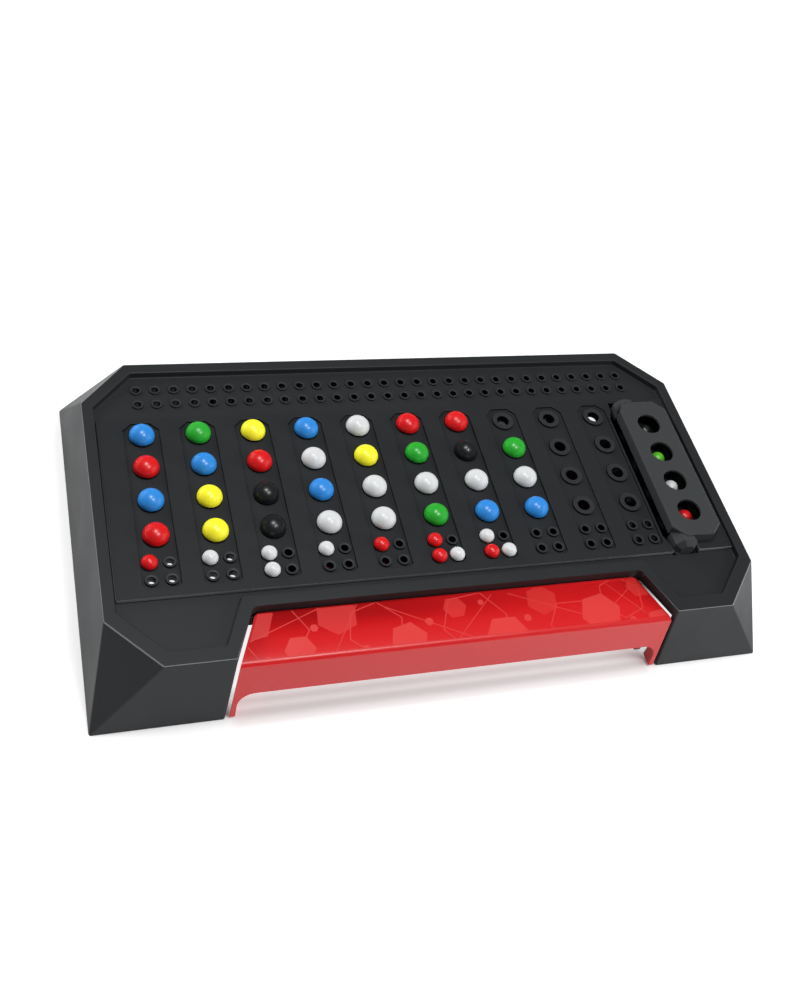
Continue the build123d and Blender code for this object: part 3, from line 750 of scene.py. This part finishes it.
def clipped(shape, half_front, half_back, front, back):
    """The part of a polygon inside the printed field, one side of the field at a time. The side from a to b
    keeps the points p with (b - a) x (p - a) >= 0, and adds the points where the outline crosses it."""
    border = [(-half_front, front), (half_front, front), (half_back, back), (-half_back, back)]
    for a, b in zip(border, border[1:] + border[:1]):
        side = [(b[0] - a[0]) * (p[1] - a[1]) - (b[1] - a[1]) * (p[0] - a[0]) for p in shape]
        kept = []
        for k, p in enumerate(shape):
            q = shape[k - 1]
            if (side[k] >= 0) != (side[k - 1] >= 0):
                part = side[k - 1] / (side[k - 1] - side[k])
                kept.append((q[0] + part * (p[0] - q[0]), q[1] + part * (p[1] - q[1])))
            if side[k] >= 0:
                kept.append(tuple(p))
        shape = kept
        if len(shape) < 3:
            return []
    return shape


def hexagon(x, y, radius, turn):
    """Corners of a regular hexagon: its middle plus radius at turn and at each 60 degrees on."""
    angle = np.radians(turn) + np.arange(6) * np.pi / 3
    return list(zip(x + radius * np.cos(angle), y + radius * np.sin(angle)))


def hexagon_rim(x, y, radius, turn):
    """The six strips between a hexagon and a smaller one inside it."""
    outer = hexagon(x, y, radius, turn)
    inner = hexagon(x, y, radius - RIM_WIDTH, turn)
    return [[outer[k - 1], outer[k], inner[k], inner[k - 1]] for k in range(6)]


def bar(x, y, length, width, turn):
    """Corners of a thin bar that starts at a point and runs in a direction."""
    along = np.array([math.cos(math.radians(turn)), math.sin(math.radians(turn))])
    across = np.array([-along[1], along[0]]) * width / 2
    start = np.array([x, y])
    end = start + along * length
    return [tuple(start - across), tuple(end - across), tuple(end + across), tuple(start + across)]


def ink_layer(name, shapes, low, high, material):
    """Thin closed slabs of ink, one for each outline, each a hair higher than the one before it."""
    mesh = bpy.data.meshes.new(name)
    work = bmesh.new()
    for number, shape in enumerate(shapes):
        level = high + INK_STEP * number
        base = [work.verts.new((x * MM, y * MM, low * MM)) for x, y in shape]
        top = [work.verts.new((x * MM, y * MM, level * MM)) for x, y in shape]
        work.faces.new(top)
        work.faces.new(base[::-1])
        for k in range(len(shape)):
            work.faces.new([base[k - 1], base[k], top[k], top[k - 1]])
    work.to_mesh(mesh)
    work.free()
    return settle(bpy.data.objects.new(name, mesh), material, "drawer")


# Pieces


class PEGGAME_OT_housing(bpy.types.Operator):
    """The black housing and the rings of its storage strip"""

    bl_idname = "peggame.housing"
    bl_label = "Housing"

    def execute(self, context):
        black = housing_plastic()
        moulded_copy("housing_shell", "top_housing", black, "board", outer_edge)
        seats = with_height(storage_holes(), sizes().deck_top)
        worn = ring_plastic("abs_storage_rings", roughness=0.46)
        turned(
            "storage_rings", STORAGE_RING, seats, SMALL_RING_SIDES, worn, "board",
            closed=True,
        )
        return {"FINISHED"}


class PEGGAME_OT_panel(bpy.types.Operator):
    """The panel with its lanes, its code rings and its key rings"""

    bl_idname = "peggame.panel"
    bl_label = "Panel"

    def execute(self, context):
        black = panel_plastic()
        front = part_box("play_panel")[0].y + PAINTED_HIGHLIGHT_DEPTH * MM
        moulded_copy(
            "lane_panel", "play_panel", black, "board",
            lambda corner: corner.co.y < front,
        )
        seats = with_height(code_holes(), sizes().lane_floor)
        hidden = with_height(hidden_holes(), sizes().well_floor)
        key_seats = with_height(key_holes(), sizes().lane_floor)
        worn = ring_plastic("abs_peg_rings", roughness=0.44)
        turned("code_rings", CODE_RING, seats, LARGE_SIDES, worn, "board", closed=True)
        turned(
            "hidden_posts", HIDDEN_POST, hidden, SMALL_RING_SIDES, black, "board",
            closed=True,
        )
        turned(
            "key_rings", KEY_RING, key_seats, SMALL_RING_SIDES, worn, "board",
            closed=True,
        )
        return {"FINISHED"}


class PEGGAME_OT_shield(bpy.types.Operator):
    """The code shield and its hinge pins"""

    bl_idname = "peggame.shield"
    bl_label = "Code shield"

    def execute(self, context):
        moulded_copy("shield_cover", "code_shield", shield_plastic(), "shield")
        paint_node("hinge_pins", drawn_steel("steel_hinge_pin"))
        return {"FINISHED"}


class PEGGAME_OT_drawer(bpy.types.Operator):
    """The red drawer, its printed top, its tray and its runners"""

    bl_idname = "peggame.drawer"
    bl_label = "Drawer"

    def execute(self, context):
        red = drawer_plastic()
        moulded_copy("drawer_face", "drawer_front", red, "drawer")
        moulded_copy("drawer_box", "drawer_tray", red, "drawer")
        black = runner_plastic()
        for side in ("left", "right"):
            moulded_copy("runner_" + side, "drawer_runner_" + side, black, "board")
        self.print_on_top()
        return {"FINISHED"}

    def print_on_top(self):
        """Hexagons, rims, dots and lines in two tints, cut to a field that widens towards the front."""
        inks = {
            "pale": print_ink("ink_pale_print", colours().ink_pale),
            "middle": print_ink("ink_middle_print", colours().ink_mid),
        }
        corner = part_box("drawer_front")[1]
        top = corner.z / MM
        back = corner.y / MM - PRINT_MARGIN
        front = back - PRINT_DEPTH
        half_front = PRINT_HALF_BACK + PRINT_DEPTH * math.tan(math.radians(PRINT_LEAN))
        tints = {
            "middle": [hexagon(*solid) for solid in PRINT_HEXAGONS[::2]],
            "pale": [hexagon(*solid) for solid in PRINT_HEXAGONS[1::2]],
        }
        for rim in PRINT_RIMS:
            tints["pale"] += hexagon_rim(*rim)
        tints["pale"] += [hexagon(*dot) for dot in PRINT_DOTS]
        tints["pale"] += [bar(*line) for line in PRINT_LINES]
        for tone, height in INK_HEIGHTS.items():
            shapes = [clipped(shape, half_front, PRINT_HALF_BACK, front, back) for shape in tints[tone]]
            shapes = [shape for shape in shapes if shape]
            ink_layer("drawer_print_" + tone, shapes, top - INK_ROOT, top + height, inks[tone])


class PEGGAME_OT_code_pegs(bpy.types.Operator):
    """The code pegs, one piece for each colour, and the hidden ones of that colour as another"""

    bl_idname = "peggame.code_pegs"
    bl_label = "Code pegs"

    def execute(self, context):
        s = sizes()
        large = code_peg_profile()
        small = key_peg_profile()
        for name in ("blue", "red", "green", "yellow", "white", "black", "lime"):
            node = "code_peg_lime" if name == "lime" else "code_pegs_" + name
            plastic = peg_plastic(name, "peg")
            in_lanes = seats_of(node, code_holes(), s.head_radius)
            in_well = seats_of(node, hidden_holes(), s.head_radius)
            body = name + "_code_pegs"
            if len(in_lanes):
                seats = with_height(in_lanes, s.lane_floor + s.ring_height)
                turned(body, large, seats, LARGE_SIDES, plastic, body, [node])
            if len(in_well):
                seats = with_height(in_well, s.well_floor + s.post_height)
                hidden = "hidden_" + name + "_peg"
                turned(hidden, small, seats, SMALL_PEG_SIDES, plastic, body, [node])
        return {"FINISHED"}


class PEGGAME_OT_key_pegs(bpy.types.Operator):
    """The small key pegs"""

    bl_idname = "peggame.key_pegs"
    bl_label = "Key pegs"

    def execute(self, context):
        s = sizes()
        profile = key_peg_profile()
        for name in ("red", "white"):
            node = "key_pegs_" + name
            plastic = peg_plastic(name, "key_peg")
            places = seats_of(node, key_holes(), s.key_head_radius)
            seats = with_height(places, s.lane_floor + s.ring_height)
            body = name + "_key_pegs"
            turned(body, profile, seats, SMALL_PEG_SIDES, plastic, body, [node])
        return {"FINISHED"}


class PEGGAME_OT_spare_pegs(bpy.types.Operator):
    """The four ball-headed pegs in the drawer"""

    bl_idname = "peggame.spare_pegs"
    bl_label = "Spare pegs"

    def execute(self, context):
        s = sizes()
        ball = s.ball_radius / MM
        profile = ball_peg_profile(ball, SPARE_STEM, SPARE_REACH)
        # Each peg lies on its ball and on the rim of its tip, so its axis slopes down towards the tip:
        # reach sin(slope) + stem cos(slope) = ball
        slope = math.asin(ball / math.hypot(SPARE_REACH, SPARE_STEM)) - math.atan(SPARE_STEM / SPARE_REACH)
        for name, side in (("red", 1), ("lime", -1), ("orange", 1), ("sky_blue", -1)):
            node = "spare_peg_" + name
            low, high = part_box(node)
            end = low.y if side > 0 else high.y
            middle = [(low.x + high.x) / 2, end + side * s.ball_radius, s.ball_height]
            down = np.array([0.0, side * math.cos(slope), -math.sin(slope)])
            across = np.array([1.0, 0.0, 0.0])
            axes = np.array([across, np.cross(down, across), down])
            plastic = peg_plastic(name, "spare")
            turned(
                "spare_" + name, profile, [middle], LARGE_SIDES, plastic, "drawer", [node],
                axes=axes,
            )
        return {"FINISHED"}


class PEGGAME_OT_screws(bpy.types.Operator):
    """The screws under the runners and in the drawer"""

    bl_idname = "peggame.screws"
    bl_label = "Screws"

    def execute(self, context):
        steel = drawn_steel("steel_screw")
        for node in ("runner_screws", "drawer_screws"):
            paint_node(node, steel)
        return {"FINISHED"}


class PEGGAME_OT_stage(bpy.types.Operator):
    """The floor, the lamps, the room and the camera"""

    bl_idname = "peggame.stage"
    bl_label = "Stage"

    def execute(self, context):
        scene = context.scene
        self.floor(scene)
        for lamp in LAMPS:
            self.lamp(scene, *lamp)
        self.room(scene)
        self.camera(scene)
        scene.view_settings.view_transform = "Standard"
        return {"FINISHED"}

    def floor(self, scene):
        """A square of paper under the object."""
        mesh = bpy.data.meshes.new("floor")
        half = FLOOR_HALF
        corners = [(-half, -half, 0), (half, -half, 0), (half, half, 0), (-half, half, 0)]
        mesh.from_pydata(corners, [], [(0, 1, 2, 3)])
        floor = bpy.data.objects.new("floor", mesh)
        mesh.materials.append(floor_paper("floor_paper"))
        scene.collection.objects.link(floor)

    def lamp(self, scene, name, spot, width, power, reflected):
        """A square lamp that faces the object."""
        data = bpy.data.lights.new(name, "AREA")
        data.energy = power
        data.size = width
        lamp = bpy.data.objects.new(name, data)
        lamp.visible_glossy = reflected
        lamp.location = spot
        aim = Vector(LAMP_AIM) - Vector(spot)
        lamp.rotation_euler = aim.to_track_quat("-Z", "Y").to_euler()
        scene.collection.objects.link(lamp)

    def room(self, scene):
        """A white room to the camera and through clear pieces, and a dim one as a lamp."""
        world = bpy.data.worlds.new("room")
        world.use_nodes = True
        scene.world = world
        tree = world.node_tree
        tree.nodes.clear()
        path = tree.nodes.new("ShaderNodeLightPath")
        dim = add_node(tree, "ShaderNodeBackground", {}, {
            "Color": linear("#ffffff"), "Strength": ROOM_LIGHT})
        white = add_node(tree, "ShaderNodeBackground", {}, {"Color": linear("#ffffff"), "Strength": 1.0})
        seen = any_of(tree, [path.outputs["Is Camera Ray"], path.outputs["Is Transmission Ray"]])
        chosen = add_node(tree, "ShaderNodeMixShader", {}, {
            0: seen, 1: dim.outputs[0], 2: white.outputs[0]})
        output = tree.nodes.new("ShaderNodeOutputWorld")
        tree.links.new(chosen.outputs[0], output.inputs[0])

    def camera(self, scene):
        """The camera at the photograph's viewing angle."""
        data = bpy.data.cameras.new("camera")
        data.sensor_width = SENSOR_WIDTH
        data.lens = FOCAL_PIXELS / LONG_SIDE_PIXELS * SENSOR_WIDTH
        data.clip_start = 0.01
        camera = bpy.data.objects.new("camera", data)
        turn = Euler([math.radians(angle) for angle in CAMERA_TURN])
        camera.matrix_world = Matrix.Translation(Vector(CAMERA_PLACE) * MM) @ turn.to_matrix().to_4x4()
        scene.collection.objects.link(camera)
        scene.camera = camera


class PEGGAME_PT_sidebar(bpy.types.Panel):
    """The peg game's sizes, colours and pieces"""

    bl_idname = "PEGGAME_PT_sidebar"
    bl_label = "Code-breaking peg game"
    bl_space_type = "VIEW_3D"
    bl_region_type = "UI"
    bl_category = "Peg game"

    def draw(self, context):
        for group in (context.scene.peggame_sizes, context.scene.peggame_colours):
            box = self.layout.box()
            for key in group.__annotations__:
                box.prop(group, key)
        for operator in OPERATORS:
            self.layout.operator(operator.bl_idname)


OPERATORS = (
    PEGGAME_OT_housing,
    PEGGAME_OT_panel,
    PEGGAME_OT_shield,
    PEGGAME_OT_drawer,
    PEGGAME_OT_code_pegs,
    PEGGAME_OT_key_pegs,
    PEGGAME_OT_spare_pegs,
    PEGGAME_OT_screws,
    PEGGAME_OT_stage,
)
CLASSES = (PEGGAME_PG_sizes, PEGGAME_PG_colours) + OPERATORS + (PEGGAME_PT_sidebar,)


def register():
    """Registers the classes and gives the scene its sizes and colours."""
    for item in CLASSES:
        bpy.utils.register_class(item)
    bpy.types.Scene.peggame_sizes = bpy.props.PointerProperty(type=PEGGAME_PG_sizes)
    bpy.types.Scene.peggame_colours = bpy.props.PointerProperty(type=PEGGAME_PG_colours)


def unregister():
    """Takes back what register did."""
    del bpy.types.Scene.peggame_colours
    del bpy.types.Scene.peggame_sizes
    for item in reversed(CLASSES):
        bpy.utils.unregister_class(item)


def main():
    register()
    bpy.ops.peggame.housing()
    bpy.ops.peggame.panel()
    bpy.ops.peggame.shield()
    bpy.ops.peggame.drawer()
    bpy.ops.peggame.code_pegs()
    bpy.ops.peggame.key_pegs()
    bpy.ops.peggame.spare_pegs()
    bpy.ops.peggame.screws()
    bpy.ops.peggame.stage()


if __name__ == "__main__":
    main()
